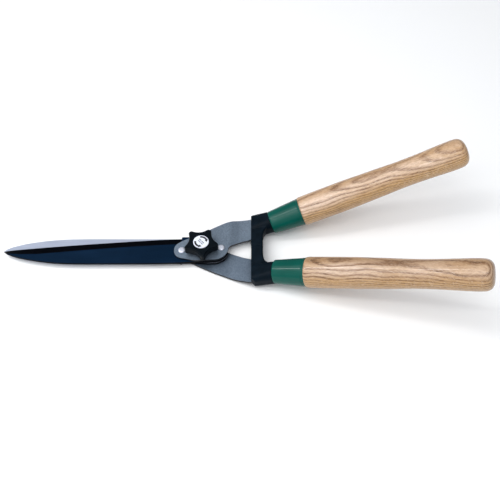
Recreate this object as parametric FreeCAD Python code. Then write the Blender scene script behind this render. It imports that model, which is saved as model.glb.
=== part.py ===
import FreeCAD, Part
import math
import os

# Hedge shears with ash handles.  Millimetres, +Z up.
# Origin: on the pivot axis, in the outer face of the pivot bolt's head, which is
# the face the shears stand on.  +X runs from the pivot towards the handles, the
# closed blades lie along -X, and the knob is on the +Z side.

V = FreeCAD.Vector

# ---------------------------------------------------------------- dimensions
BLADE_REACH = 230.3        # pivot axis to blade tip
BLADE_HALF = 18.05         # spine to tool centre line, closed
BLADE_T = 2.6              # blades
TANG_T = 2.6               # tangs, riveted to the outer face of each blade
SLIDE_GAP = 0.4            # pivot washer between the blades
HEAD_T = 1.8               # low round head of the pivot bolt
HEAD_R = 8.5
Z_RTANG = HEAD_T                                 # underside of the rear tang
Z_REAR = Z_RTANG + TANG_T                        # underside of the rear blade
Z_REAR_TOP = Z_REAR + BLADE_T
Z_FRONT = Z_REAR_TOP + SLIDE_GAP                 # underside of the front blade
Z_FRONT_TOP = Z_FRONT + BLADE_T                  # and of the front tang
Z_PLATE_TOP = Z_FRONT_TOP + TANG_T

BOLT_R = 4.0
RUN_CLEAR = 0.06           # radial running clearance on the bolt
BUSH_R = 6.0
NECK = 8.0                 # square neck, keyed into the rear tang and blade
BOLT_END = 25.0
THRUST_T = 1.2
SPRING_H = 1.8
Z_HUB = Z_PLATE_TOP + THRUST_T + SPRING_H        # underside of the knob's hub

KNOB_TIP = 20.0            # axis to lobe tip
KNOB_TIP_R = 3.2
KNOB_VALLEY = 14.2
KNOB_LOBES = 5
KNOB_PHASE = -11.0
Z_LOBE = Z_HUB + 2.3
Z_KNOB_TOP = Z_LOBE + 9.3
HUB_R = 11.5
CAP_R = 8.9
NUT_AF = 13.0

RIVETS = [(-23.0, -1.5), (22.6, 2.1)]
RIVET_HEAD_R = 4.1
RIVET_HEAD_H = 1.3
RIVET_R = 2.4

# handle axis: start of the exposed wood, plan angle and upward crank
HX, HY, HZ = 116.0, 42.42, 28.7
YAW = 12.77
CRANK = 17.23
SLOPE = math.tan(math.radians(CRANK)) / math.cos(math.radians(YAW))
FERRULE_L = 37.4
FERRULE_R0 = 13.43         # small end
FERRULE_R1 = 16.2          # at the wood
FERRULE_T = 1.2
TAIL_IN_WOOD = 70.0
REAR_SHIFT = 3.0           # rear ferrule is driven this much further up its tang

COLLAR_X = 57.2            # flat front face of the bumper collars
COLLAR_GAP = 0.3           # between the two bumpers with the blades shut


# ------------------------------------------------------------------- helpers
def line(a, b):
    return Part.LineSegment(V(*a), V(*b)).toShape()


def spline(points, t0=None, t1=None):
    c = Part.BSplineCurve()
    p = [V(*q) for q in points]
    if t0 is not None:
        c.interpolate(Points=p, InitialTangent=V(*t0), FinalTangent=V(*t1))
    else:
        c.interpolate(Points=p)
    return c.toShape()


def arc3(a, b, c):
    return Part.Arc(V(*a), V(*b), V(*c)).toShape()


def face_of(edges):
    return Part.Face(Part.Wire(edges))


def prism(edges, height):
    return face_of(edges).extrude(V(0, 0, height))


def poly(points):
    p = [V(*q) for q in points]
    return Part.makePolygon(p + [p[0]])


def cyl(r, z0, z1, x=0.0, y=0.0):
    return Part.makeCylinder(r, z1 - z0, V(x, y, z0), V(0, 0, 1))


def ring(r0, r1, z0, z1):
    return cyl(r1, z0, z1).cut(cyl(r0, z0 - 1, z1 + 1))


def hexagon(af, z0, z1, turn=0.0):
    r = af / 2.0 / math.cos(math.radians(30))
    pts = [(r * math.cos(math.radians(60 * i + turn)),
            r * math.sin(math.radians(60 * i + turn)), z0) for i in range(6)]
    return Part.Face(poly(pts)).extrude(V(0, 0, z1 - z0))


def revolve(pts, axis=V(0, 0, 1)):
    return Part.Face(poly(pts)).revolve(V(0, 0, 0), axis, 360)


def solid_of(shape):
    """One clean solid from a boolean result."""
    s = shape.removeSplitter()
    best = max(s.Solids, key=lambda q: q.Volume)
    return best


def fillet_try(shape, edges, radii):
    for r in radii:
        try:
            out = shape.makeFillet(r, edges)
            if out.isValid() and len(out.Solids) == 1 and out.Volume > 0:
                return out
        except Exception:
            pass
    return shape


def chamfer_try(shape, edges, sizes):
    for r in sizes:
        try:
            out = shape.makeChamfer(r, edges)
            if out.isValid() and len(out.Solids) == 1 and out.Volume > 0:
                return out
        except Exception:
            pass
    return shape


def mirror_y(shape):
    return shape.mirror(V(0, 0, 0), V(0, 1, 0))


# ------------------------------------------------------- bent strip thickness
def side_curve(knots, step=1.6):
    """Smooth side profile through (x, z, slope) knots, sampled evenly."""
    out = []
    for (x0, z0, m0), (x1, z1, m1) in zip(knots, knots[1:]):
        n = max(2, int(round((x1 - x0) / step)))
        h = x1 - x0
        for i in range(n):
            t = i / float(n)
            a = 2 * t ** 3 - 3 * t ** 2 + 1
            b = t ** 3 - 2 * t ** 2 + t
            c = -2 * t ** 3 + 3 * t ** 2
            d = t ** 3 - t ** 2
            z = a * z0 + b * h * m0 + c * z1 + d * h * m1
            da = (6 * t ** 2 - 6 * t) / h
            db = 3 * t ** 2 - 4 * t + 1
            dc = -da
            dd = 3 * t ** 2 - 2 * t
            m = da * z0 + db * m0 + dc * z1 + dd * m1
            out.append((x0 + h * t, z, m))
    out.append(knots[-1])
    return out


def ribbon(knots, thickness, x_tip, x_tail):
    """Strip of constant thickness that follows a side profile from tip to tail."""
    pts = side_curve(knots)

    def off(sign):
        r = []
        for x, z, m in pts:
            n = math.hypot(1.0, m)
            h = thickness / 2.0 * sign
            r.append((x - m / n * h, 0.0, z + h / n))
        return r
    up, lo = off(1), off(-1)
    s = knots[-1][2]
    run = x_tail - knots[-1][0]
    up_end = (up[-1][0] + run, 0.0, up[-1][2] + s * run)
    lo_end = (lo[-1][0] + run, 0.0, lo[-1][2] + s * run)
    up_tip = (x_tip, 0.0, up[0][2])
    lo_tip = (x_tip, 0.0, lo[0][2])
    e = [line(up_tip, up[0]), spline(up), line(up[-1], up_end), line(up_end, lo_end), line(lo_end, lo[-1]),
         spline(list(reversed(lo))), line(lo[0], lo_tip), line(lo_tip, up_tip)]
    return face_of(e).extrude(V(0, 200, 0)).translated(V(0, -100, 0))


def axis_z(x):
    return HZ + SLOPE * (x - HX)


def axis_y(x):
    return HY + math.tan(math.radians(YAW)) * (x - HX)


TAIL_X = HX + TAIL_IN_WOOD * math.cos(math.radians(CRANK)) * math.cos(math.radians(YAW))

ZF_MID = (Z_FRONT_TOP + Z_PLATE_TOP) / 2.0
ZR_MID = (Z_RTANG + Z_REAR) / 2.0
# (x, height, slope) of the middle of each tang: flat over the blade, joggled towards
# the other one, then set up to meet the handle axis
FRONT_PATH = [(31.0, ZF_MID, 0.0), (38.0, ZF_MID - 0.95, -0.23), (45.0, ZF_MID - 1.8, 0.0),
              (57.0, ZF_MID - 1.05, 0.17), (70.0, axis_z(70.0), SLOPE)]
REAR_PATH = [(31.0, ZR_MID, 0.0), (42.0, ZR_MID + 2.1, 0.30), (57.0, ZR_MID + 6.9, 0.31),
             (73.0, axis_z(73.0), SLOPE)]

# --------------------------------------------------------------- blade plans
# spine from the root to just short of the tip, as distance from centre line
SPINE = [(-146.0, BLADE_HALF), (-165.0, 17.25), (-179.0, 15.85), (-193.0, 13.75), (-203.0, 11.75),
         (-212.0, 9.45), (-221.0, 6.45), (-227.0, 3.5), (-BLADE_REACH, 0.55)]
# cutting edge, on the far side of the centre line
EDGE = [(-BLADE_REACH + 0.35, -0.45), (-222.0, 1.15), (-210.0, 2.55), (-189.3, 4.75), (-155.0, 8.1), (-119.9, 11.1),
        (-85.0, 13.9), (-50.0, 16.5), (-24.0, 17.6)]
# upper limit of the ground bevel on the outer face
BEVEL = [(-BLADE_REACH - 1.0, -4.0), (-222.0, -4.6), (-210.0, -5.2), (-189.3, -5.0), (-155.0, -1.4), (-119.9, 2.0),
         (-85.0, 5.1), (-50.0, 7.6), (-24.0, 9.1)]


def bevel_cutter(z_sharp, z_face, flip):
    """Wedge that grinds the cutting edge: from the mating face out to the outer face."""
    wires = []
    land = 0.35
    ext = 2.0
    up = 1.0 if z_face > z_sharp else -1.0
    for (xe, ye), (xb, yb) in zip(EDGE, BEVEL):
        p = (ye, z_sharp + up * land)
        q = (yb, z_face)
        dy, dz = p[0] - q[0], p[1] - q[1]
        n = math.hypot(dy, dz)
        a = (q[0] - dy / n * ext, q[1] - dz / n * ext)
        b = (p[0] + dy / n * ext, p[1] + dz / n * ext)
        c = (b[0], a[1])
        pts = [(xe, flip * a[0], a[1]), (xe, flip * b[0], b[1]), (xe, flip * c[0], c[1])]
        wires.append(poly(pts))
    first = wires[0].translated(V(-6, 0, 0))
    last = wires[-1]
    body = Part.makeLoft([first] + wires[:1] + wires[1:], True, True)
    return body


# -------------------------------------------------------------- front blade
# blade below the centre line; the boss ends in a round end under the tang
BOSS_LOW = [(30.3, -3.0, 0), (28.3, -6.4, 0), (26.0, -9.5, 0), (23.8, -11.4, 0), (21.4, -12.8, 0), (19.2, -13.7, 0),
            (16.8, -14.2, 0), (13.5, -14.4, 0), (6.6, -14.7, 0), (-5.8, -15.4, 0), (-12.0, -15.9, 0)]
f_spine = [(-12.0, -15.9, 0), (-24.5, -16.75, 0), (-40.0, -17.5, 0), (-60.0, -17.95, 0),
           (-100.0, -BLADE_HALF, 0)] + [(x, -y, 0) for x, y in SPINE]
f_edge = [(x, y, 0) for x, y in EDGE]
front_plan = [
    spline(f_spine),
    line((SPINE[-1][0], -SPINE[-1][1], 0), f_edge[0]),
    spline(f_edge),
    line((-24.0, 17.6, 0), (-23.2, 18.9, 0)),
    line((-23.2, 18.9, 0), (0.0, 18.9, 0)),
    spline([(0.0, 18.9, 0), (9.0, 18.0, 0), (17.0, 15.2, 0), (23.5, 11.0, 0), (27.8, 6.5, 0), (30.0, 1.5, 0)]
           + BOSS_LOW, (1, 0, 0), (-1, -0.02, 0)),
]
front_blade = prism(front_plan, BLADE_T).translated(V(0, 0, Z_FRONT))
front_blade = front_blade.cut(bevel_cutter(Z_FRONT, Z_FRONT_TOP, 1))
front_blade = front_blade.cut(cyl(BUSH_R, 0, 40))

# --------------------------------------------------------------- front tang
# grey arm: its plate end lies on the blade and carries the pivot and both rivets
front_tang_plan = [
    spline([(-15.4, 15.3, 0), (-19.9, 13.1, 0), (-24.5, 10.4, 0), (-28.2, 7.7, 0), (-30.8, 4.2, 0), (-31.9, -0.6, 0),
            (-31.3, -5.4, 0), (-29.0, -9.5, 0), (-25.0, -12.0, 0), (-20.0, -13.0, 0), (-15.0, -14.2, 0),
            (-10.0, -15.2, 0), (-5.8, -15.4, 0)]),
    spline([(-5.8, -15.4, 0), (6.6, -14.7, 0), (13.5, -14.4, 0), (16.8, -14.2, 0), (19.2, -13.7, 0),
            (21.4, -12.8, 0), (23.8, -11.4, 0), (26.0, -9.5, 0), (28.3, -6.4, 0), (30.1, -3.0, 0), (30.8, 0.5, 0)]),
    spline([(30.8, 0.5, 0), (31.6, 2.8, 0), (33.2, 4.6, 0), (37.4, 7.1, 0), (44.3, 10.5, 0), (51.3, 12.7, 0),
            (56.0, 14.0, 0), (61.0, 17.6, 0), (66.0, 22.2, 0), (71.0, 25.6, 0), (77.0, axis_y(77.0) - 5.6, 0)]),
    line((77.0, axis_y(77.0) - 5.6, 0), (TAIL_X, axis_y(TAIL_X) - 2.6, 0)),
    line((TAIL_X, axis_y(TAIL_X) - 2.6, 0), (TAIL_X, axis_y(TAIL_X) + 2.6, 0)),
    line((TAIL_X, axis_y(TAIL_X) + 2.6, 0), (77.0, axis_y(77.0) + 5.6, 0)),
    spline([(77.0, axis_y(77.0) + 5.6, 0), (71.0, 39.9, 0), (66.0, 41.8, 0), (61.0, 43.0, 0)]),
    spline([(61.0, 43.0, 0), (56.0, 43.5, 0), (51.3, 43.0, 0), (44.1, 42.2, 0), (37.0, 41.1, 0), (29.9, 39.0, 0),
            (22.8, 35.7, 0), (15.8, 31.9, 0), (8.0, 27.3, 0), (0.0, 22.9, 0), (-8.0, 18.9, 0), (-15.4, 15.3, 0)]),
]
front_tang = prism(front_tang_plan, 90.0).common(ribbon(FRONT_PATH, TANG_T, -60.0, TAIL_X))
front_tang = front_tang.cut(cyl(BUSH_R, 0, 40))

# ---------------------------------------------------------------- rear blade
# blade above the centre line
r_spine = [(-24.5, 18.0, 0), (-60.0, BLADE_HALF, 0), (-100.0, BLADE_HALF, 0)] + [(x, y, 0) for x, y in SPINE]
r_edge = [(x, -y + (0.9 * min(1.0, (x + 110.0) / 86.0) if x > -110.0 else 0.0), 0) for x, y in EDGE]
rear_plan = [
    spline(r_spine),
    line((SPINE[-1][0], SPINE[-1][1], 0), r_edge[0]),
    spline(r_edge),
    line(r_edge[-1], (-22.2, -15.1, 0)),
    line((-22.2, -15.1, 0), (-10.0, -15.1, 0)),
    spline([(-10.0, -15.1, 0), (-4.0, -15.3, 0), (2.0, -15.9, 0), (7.0, -16.15, 0), (13.4, -15.95, 0), (16.9, -15.65, 0),
            (19.4, -14.95, 0), (21.7, -13.85, 0), (24.1, -12.3, 0), (26.5, -10.5, 0), (28.8, -7.4, 0),
            (30.3, -3.4, 0), (30.3, 0.8, 0), (28.8, 5.0, 0), (25.0, 9.6, 0), (19.0, 13.4, 0), (11.0, 15.9, 0),
            (0.0, 16.9, 0), (-12.0, 17.4, 0), (-24.5, 18.0, 0)]),
]
rear_blade = prism(rear_plan, BLADE_T).translated(V(0, 0, Z_REAR))
rear_blade = rear_blade.cut(bevel_cutter(Z_REAR_TOP, Z_REAR, -1))
neck_hole = Part.makeBox(NECK + 0.1, NECK + 0.1, 40, V(-(NECK + 0.1) / 2, -(NECK + 0.1) / 2, 0))
rear_blade = rear_blade.cut(neck_hole)

# ----------------------------------------------------------------- rear tang
ay = axis_y
rear_tang_plan = [
    spline([(-10.1, -14.4, 0), (-14.5, -12.9, 0), (-19.0, -11.7, 0), (-24.0, -10.6, 0), (-28.5, -8.2, 0),
            (-31.2, -4.3, 0), (-31.9, 0.8, 0), (-31.0, 5.8, 0), (-28.0, 9.9, 0), (-22.0, 12.4, 0), (-15.0, 14.0, 0),
            (-8.0, 15.4, 0), (0.0, 15.9, 0), (8.0, 15.3, 0), (15.0, 12.8, 0), (20.0, 8.8, 0), (24.5, 4.4, 0),
            (30.3, 0.7, 0)]),
    spline([(30.3, 0.7, 0), (37.4, -3.2, 0), (44.4, -7.1, 0), (51.4, -10.8, 0), (57.0, -13.4, 0), (61.0, -16.6, 0),
            (66.0, -21.2, 0), (71.0, -25.2, 0), (77.0, -ay(77.0) + 5.6, 0)]),
    line((77.0, -ay(77.0) + 5.6, 0), (TAIL_X, -ay(TAIL_X) + 2.6, 0)),
    line((TAIL_X, -ay(TAIL_X) + 2.6, 0), (TAIL_X, -ay(TAIL_X) - 2.6, 0)),
    line((TAIL_X, -ay(TAIL_X) - 2.6, 0), (77.0, -ay(77.0) - 5.6, 0)),
    spline([(77.0, -ay(77.0) - 5.6, 0), (71.0, -40.0, 0), (66.0, -42.4, 0), (61.0, -44.2, 0)]),
    spline([(61.0, -44.2, 0), (57.0, -44.2, 0), (51.5, -42.5, 0), (44.6, -39.9, 0), (37.7, -36.9, 0), (30.8, -33.7, 0),
            (23.9, -30.8, 0), (17.0, -27.9, 0), (10.0, -24.6, 0), (2.9, -21.2, 0), (-4.1, -17.6, 0),
            (-10.1, -14.4, 0)]),
]
rear_tang = prism(rear_tang_plan, 90.0).common(ribbon(REAR_PATH, TANG_T, -60.0, TAIL_X))
rear_tang = rear_tang.cut(neck_hole)


def rivet_set(points, z_head, up, z_end):
    """Flat round-headed rivets with plain shanks, head on the tang's outer face."""
    out = []
    for (x, y) in points:
        pr = [(0, 0, 0), (RIVET_HEAD_R, 0, 0), (RIVET_HEAD_R, 0, 0.35), (RIVET_HEAD_R - 0.35, 0, 0.85),
              (RIVET_HEAD_R - 1.0, 0, 1.15), (RIVET_HEAD_R - 2.0, 0, RIVET_HEAD_H), (0, 0, RIVET_HEAD_H)]
        dome = revolve(pr)
        if not up:
            dome = dome.mirror(V(0, 0, 0), V(0, 0, 1))
        dome = dome.translated(V(x, y, z_head))
        shank = cyl(RIVET_R, min(z_head, z_end), max(z_head, z_end), x, y)
        out.append(solid_of(dome.fuse(shank)))
    return Part.makeCompound(out)


for (x, y) in RIVETS:
    front_blade = front_blade.cut(cyl(RIVET_R, 0, 40, x, y))
    front_tang = front_tang.cut(cyl(RIVET_R, 0, 40, x, y))
    rear_blade = rear_blade.cut(cyl(RIVET_R, 0, 40, x, -y))
    rear_tang = rear_tang.cut(cyl(RIVET_R, 0, 40, x, -y))
front_blade = solid_of(front_blade)
rear_blade = solid_of(rear_blade)
front_tang = solid_of(front_tang)
rear_tang = solid_of(rear_tang)
front_rivets = rivet_set(RIVETS, Z_PLATE_TOP, True, Z_FRONT + 0.05)
rear_rivets = rivet_set([(x, -y) for (x, y) in RIVETS], Z_RTANG, False, Z_REAR_TOP - 0.05)

# ------------------------------------------------------------ pivot hardware
head = revolve([(0, 0, 0), (HEAD_R - 1.2, 0, 0), (HEAD_R - 0.3, 0, 0.5), (HEAD_R, 0, 1.1), (HEAD_R, 0, HEAD_T), (0, 0, HEAD_T)])
neck = Part.makeBox(NECK, NECK, TANG_T + BLADE_T - 0.2, V(-NECK / 2, -NECK / 2, HEAD_T))
pivot_bolt = head.fuse(neck).fuse(cyl(BOLT_R, HEAD_T, BOLT_END))
tip_cone = Part.makeCone(BOLT_R, BOLT_R - 0.9, 0.9, V(0, 0, BOLT_END - 0.9))
pivot_bolt = pivot_bolt.cut(cyl(BOLT_R + 2, BOLT_END - 0.9, BOLT_END + 1)).fuse(tip_cone)
pivot_bolt = solid_of(pivot_bolt)

pivot_washer = ring(BOLT_R + 0.1, 12.5, Z_REAR_TOP, Z_FRONT)
pivot_bush = ring(BOLT_R + RUN_CLEAR, BUSH_R - 0.02, Z_FRONT, Z_PLATE_TOP)
thrust_washer = ring(BOLT_R + 0.1, 10.5, Z_PLATE_TOP, Z_PLATE_TOP + THRUST_T)
zs = Z_PLATE_TOP + THRUST_T
spring_washer = revolve([(4.25, 0, zs + 0.7), (9.6, 0, zs), (9.6, 0, zs + 0.7), (4.25, 0, zs + SPRING_H)])

# ---------------------------------------------------------------------- knob
c36 = math.cos(math.pi / KNOB_LOBES)
ct = KNOB_TIP - KNOB_TIP_R
A = ct * ct + KNOB_VALLEY ** 2 - 2 * ct * KNOB_VALLEY * c36 - KNOB_TIP_R ** 2
B = 2 * KNOB_TIP_R - 2 * KNOB_VALLEY + 2 * ct * c36
rho = A / B
dval = KNOB_VALLEY + rho
edges = []
step = 2 * math.pi / KNOB_LOBES
ph = math.radians(KNOB_PHASE)


def pol(r, a):
    return (r * math.cos(a), r * math.sin(a), 0)


joins = []
for i in range(KNOB_LOBES):
    a0 = ph + i * step
    cv = pol(dval, a0 + step / 2)
    for j, aa in ((0, a0), (1, a0 + step)):
        cc = pol(ct, aa)
        dx, dy = cv[0] - cc[0], cv[1] - cc[1]
        d = math.hypot(dx, dy)
        joins.append((cc[0] + dx / d * KNOB_TIP_R, cc[1] + dy / d * KNOB_TIP_R, 0))
for i in range(KNOB_LOBES):
    a0 = ph + i * step
    p_in = joins[(2 * i - 1) % (2 * KNOB_LOBES)]
    p_out = joins[2 * i]
    p_next = joins[2 * i + 1]
    edges.append(arc3(p_in, pol(KNOB_TIP, a0), p_out))
    edges.append(arc3(p_out, pol(KNOB_VALLEY, a0 + step / 2), p_next))
lobes = prism(edges, Z_KNOB_TOP - Z_LOBE).translated(V(0, 0, Z_LOBE))
rim = [e for e in lobes.Edges if all(abs(v.Point.z - Z_KNOB_TOP) < 1e-6 for v in e.Vertexes)]
lobes = fillet_try(lobes, rim, [1.2, 0.9, 0.6])
rim = [e for e in lobes.Edges if all(abs(v.Point.z - Z_LOBE) < 1e-6 for v in e.Vertexes)]
lobes = fillet_try(lobes, rim, [0.7, 0.5, 0.3])
knob_body = lobes.fuse(cyl(HUB_R, Z_HUB, Z_LOBE + 0.5))
Z_NUT0 = Z_HUB + 1.6
Z_NUT1 = Z_NUT0 + 6.5
Z_CAP = Z_KNOB_TOP - 0.8
knob_body = knob_body.cut(cyl(BOLT_R + 0.5, Z_HUB - 1, Z_NUT0 + 0.5))
knob_body = knob_body.cut(hexagon(NUT_AF + 0.04, Z_NUT0, Z_NUT1, 0.0))
knob_body = knob_body.cut(cyl(7.6, Z_NUT1, Z_KNOB_TOP + 1))
knob_body = knob_body.cut(cyl(CAP_R + 0.1, Z_CAP, Z_KNOB_TOP + 1))
knob_body = solid_of(knob_body)
knob_nut = hexagon(NUT_AF, Z_NUT0, Z_NUT1, 0.0).cut(cyl(BOLT_R + RUN_CLEAR, 0, 60))
cap_top = Z_KNOB_TOP + 0.4
knob_cap = cyl(CAP_R, Z_CAP, cap_top)
rim = [e for e in knob_cap.Edges if all(abs(v.Point.z - cap_top) < 1e-6 for v in e.Vertexes)]
knob_cap = chamfer_try(knob_cap, rim, [0.3, 0.2])
knob_cap = solid_of(knob_cap.fuse(ring(6.5, 7.55, Z_CAP - 1.2, Z_CAP)))

# ------------------------------------------------------- handle-local pieces
rot = FreeCAD.Rotation(V(0, 0, 1), YAW).multiply(FreeCAD.Rotation(V(0, 1, 0), -CRANK))
HANDLE = FreeCAD.Placement(V(HX, HY, HZ), rot)


def place(shape):
    s = shape.copy()
    s.transformShape(HANDLE.toMatrix())
    return s


def ferrule_r(s):
    return FERRULE_R1 + (FERRULE_R1 - FERRULE_R0) / FERRULE_L * s


fe = -FERRULE_L
ferrule_pts = [(fe, 0, 0), (fe, FERRULE_R0 - 1.0, 0), (fe + 0.3, FERRULE_R0 - 0.3, 0), (fe + 1.0, ferrule_r(fe + 1.0), 0),
               (-0.05, ferrule_r(0), 0), (-0.05, ferrule_r(0) - FERRULE_T, 0),
               (fe + 1.6, ferrule_r(fe + 1.6) - FERRULE_T, 0), (fe + 1.6, 0, 0)]
ferrule = revolve(ferrule_pts, V(1, 0, 0))

wood_top = [(8.0, 17.35, 0), (30.0, 17.5, 0), (58.0, 17.45, 0), (76.0, 17.05, 0), (95.0, 16.6, 0),
            (109.0, 16.15, 0), (122.0, 15.8, 0), (137.0, 15.8, 0), (152.0, 16.2, 0), (166.0, 16.8, 0),
            (178.0, 17.2, 0), (186.0, 17.25, 0), (190.2, 17.08, 0), (193.2, 16.6, 0), (195.5, 15.65, 0),
            (197.55, 14.1, 0), (199.1, 12.0, 0), (200.1, 9.4, 0), (200.6, 6.2, 0), (200.83, 3.0, 0), (200.9, 0.0, 0)]
tenon_in = 0.05


def wood(shift):
    """Turned handle with its tenon; shift moves the shoulder that meets the ferrule."""
    tenon0 = fe + 1.65
    rt = ferrule_r(tenon0) - FERRULE_T - tenon_in
    rs = ferrule_r(0) - FERRULE_T - tenon_in
    a = (tenon0 + shift, 0, 0)
    edges = [
        line(a, (tenon0 + shift, rt, 0)),
        line((tenon0 + shift, rt, 0), (shift, rs, 0)),
        line((shift, rs, 0), (shift, 16.35, 0)),
        line((shift, 16.35, 0), (shift + 1.4, 17.0, 0)),
        spline([(shift + 1.4, 17.0, 0)] + wood_top, (1, 0.08, 0), (0, -1, 0)),
        line((200.9, 0, 0), a),
    ]
    return face_of(edges).revolve(V(0, 0, 0), V(1, 0, 0), 360)


PIN_S = -4.2


def pin_at(angle):
    """Small nail through the ferrule into the wood, angle from local +Y towards local +Z."""
    a = math.radians(angle)
    d = V(0, math.cos(a), math.sin(a))
    r = ferrule_r(PIN_S)
    base = V(PIN_S, 0, 0)
    shank = Part.makeCylinder(1.1, 9.5, base + d * (r - 9.2), d)
    sr = 3.4
    ball = Part.makeSphere(sr, base + d * (r + 0.55 - sr))
    lid = ball.common(Part.makeCylinder(3.0, 3.0, base + d * (r - 0.25), d))
    return solid_of(shank.fuse(lid))


# -------------------------------------------------------------- bumper collar
BETA = math.degrees(math.atan(SLOPE))
FO = V(57.6, 0, axis_z(57.6))
frot = FreeCAD.Rotation(V(0, 1, 0), -BETA)
COLLAR = FreeCAD.Placement(FO, frot)
cb = math.cos(math.radians(BETA))
yaw2 = math.atan(math.tan(math.radians(YAW)) * cb)


def rrect(p0, u, w, v, h, r):
    """Rounded rectangle wire: corner p0, side w along u, side h along v."""
    u, v = V(*u), V(*v)
    p0 = V(*p0)

    def P(a, b):
        q = p0 + u * a + v * b
        return (q.x, q.y, q.z)
    k = r * (1 - math.sqrt(0.5))
    return Part.Wire([
        line(P(r, 0), P(w - r, 0)), arc3(P(w - r, 0), P(w - k, k), P(w, r)),
        line(P(w, r), P(w, h - r)), arc3(P(w, h - r), P(w - k, h - k), P(w - r, h)),
        line(P(w - r, h), P(r, h)), arc3(P(r, h), P(k, h - k), P(0, h - r)),
        line(P(0, h - r), P(0, r)), arc3(P(0, r), P(k, k), P(r, 0))])


def bumper(shift):
    """Moulded collar on +Y: a block round the tang, up to the ferrule, and the buffer arm."""
    x_s = (HX - FO.x) / cb
    end_s = FERRULE_L + 0.15 - shift
    cx, cy = x_s - end_s * math.cos(yaw2), HY - end_s * math.sin(yaw2)
    nx, ny = -math.sin(yaw2), math.cos(yaw2)
    h0, h1 = 8.0, 11.2
    outer, inner = 12.9, 10.8
    w1 = rrect((-6.0, 22.3, -h0), (0, 1, 0), 46.2 - 22.3, (0, 0, 1), 2 * h0, 4.4)
    q0 = (cx - nx * inner, cy - ny * inner, -h1)
    w2 = rrect(q0, (nx, ny, 0), outer + inner, (0, 0, 1), 2 * h1, 8.8)
    block = Part.makeLoft([w1, w2], True, True)
    block.transformShape(COLLAR.toMatrix())
    # buffer arm: upright walls, its top and bottom along the handles' slope
    g = COLLAR_GAP / 2.0
    ah = 7.8
    dx, dy = math.cos(yaw2), math.sin(yaw2)
    ex, ey = cx - 0.1 * dx, cy - 0.1 * dy
    slab = prism([line((ex - nx * 60, ey - ny * 60, 0), (ex + nx * 20, ey + ny * 20, 0)),
                  line((ex + nx * 20, ey + ny * 20, 0), (ex + nx * 20 - dx * 60, ey + ny * 20 - dy * 60, 0)),
                  line((ex + nx * 20 - dx * 60, ey + ny * 20 - dy * 60, 0), (ex - nx * 60 - dx * 60, ey - ny * 60 - dy * 60, 0)),
                  line((ex - nx * 60 - dx * 60, ey - ny * 60 - dy * 60, 0), (ex - nx * 60, ey - ny * 60, 0))],
                 2 * ah).translated(V(0, 0, -ah))
    slab.transformShape(COLLAR.toMatrix())
    web_edges = [
        line((54.0, g, 0), (71.0, g, 0)), line((71.0, g, 0), (71.0, 12.0, 0)),
        spline([(71.0, 12.0, 0), (71.6, 16.9, 0), (73.5, 21.8, 0), (77.2, 25.4, 0), (83.0, 27.1, 0)],
               (0, 1, 0), (1, 0.2, 0)),
        line((83.0, 27.1, 0), (82.0, 33.0, 0)),
        line((82.0, 33.0, 0), (54.0, 33.0, 0)), line((54.0, 33.0, 0), (54.0, g, 0))]
    web = solid_of(prism(web_edges, 120.0).translated(V(0, 0, -40)).common(slab))
    back = COLLAR.inverse()
    rim = []
    for e in web.Edges:
        mid = e.valueAt((e.FirstParameter + e.LastParameter) / 2.0)
        if all(abs(abs(back.multVec(p).z) - ah) < 1e-4 for p in [mid] + [v.Point for v in e.Vertexes]) \
                and mid.x > 70.9 and mid.y < 27.0:
            rim.append(e)
    web = fillet_try(web, rim, [2.2, 1.8, 1.4, 1.0])
    collar = block.fuse(web)
    collar = collar.cut(Part.makeBox(60, 120, 120, V(COLLAR_X - 60, -20, -40)))
    corner = Part.makeBox(20, 20, 120, V(-10, 0, -40))
    corner.rotate(V(0, 0, 0), V(0, 0, 1), 38)
    corner.translate(V(COLLAR_X, 43.6, 0))
    collar = collar.cut(corner)
    # lower outer corner cut back aslant
    a, b, c = V(COLLAR_X, 37.2, 2.0), V(63.4, 46.2, 3.2), V(COLLAR_X, 46.8, 13.0)
    n = (b - a).cross(c - a)
    n.normalize()
    if n.x > 0:
        n = n * -1.0
    nook = Part.makeBox(60, 60, 30, V(-30, -30, 0))
    nook.transformShape(FreeCAD.Placement(a, FreeCAD.Rotation(V(0, 0, 1), n)).toMatrix())
    collar = solid_of(collar.cut(nook))
    rim = [e for e in collar.Edges if all(abs(v.Point.x - COLLAR_X) < 1e-5 for v in e.Vertexes)
           and all(v.Point.y > g + 0.5 for v in e.Vertexes)]
    return fillet_try(collar, rim, [1.0, 0.7, 0.4])


front_bumper = solid_of(bumper(0.0).cut(front_tang))
rear_bumper = solid_of(mirror_y(bumper(REAR_SHIFT)).cut(rear_tang))


def slid(shape):
    return shape.translated(V(REAR_SHIFT, 0, 0))


pin_f = place(pin_at(-60.0))
pin_r = mirror_y(place(slid(pin_at(120.0))))
front_ferrule = solid_of(place(ferrule).cut(front_tang).cut(pin_f))
rear_ferrule = solid_of(mirror_y(place(slid(ferrule))).cut(rear_tang).cut(pin_r))
front_handle = solid_of(place(wood(0.0)).cut(front_tang).cut(pin_f))
rear_handle = solid_of(mirror_y(place(wood(REAR_SHIFT))).cut(rear_tang).cut(pin_r))

PARTS = {
    "front_blade": front_blade,
    "front_tang": front_tang,
    "front_rivets": front_rivets,
    "rear_blade": rear_blade,
    "rear_tang": rear_tang,
    "rear_rivets": rear_rivets,
    "pivot_bolt": pivot_bolt,
    "pivot_bush": pivot_bush,
    "pivot_washer": pivot_washer,
    "thrust_washer": thrust_washer,
    "spring_washer": spring_washer,
    "knob_body": knob_body,
    "knob_nut": knob_nut,
    "knob_cap": knob_cap,
    "front_bumper": front_bumper,
    "rear_bumper": rear_bumper,
    "front_ferrule": front_ferrule,
    "rear_ferrule": rear_ferrule,
    "front_handle": front_handle,
    "rear_handle": rear_handle,
    "front_ferrule_pin": pin_f,
    "rear_ferrule_pin": pin_r,
}

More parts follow.
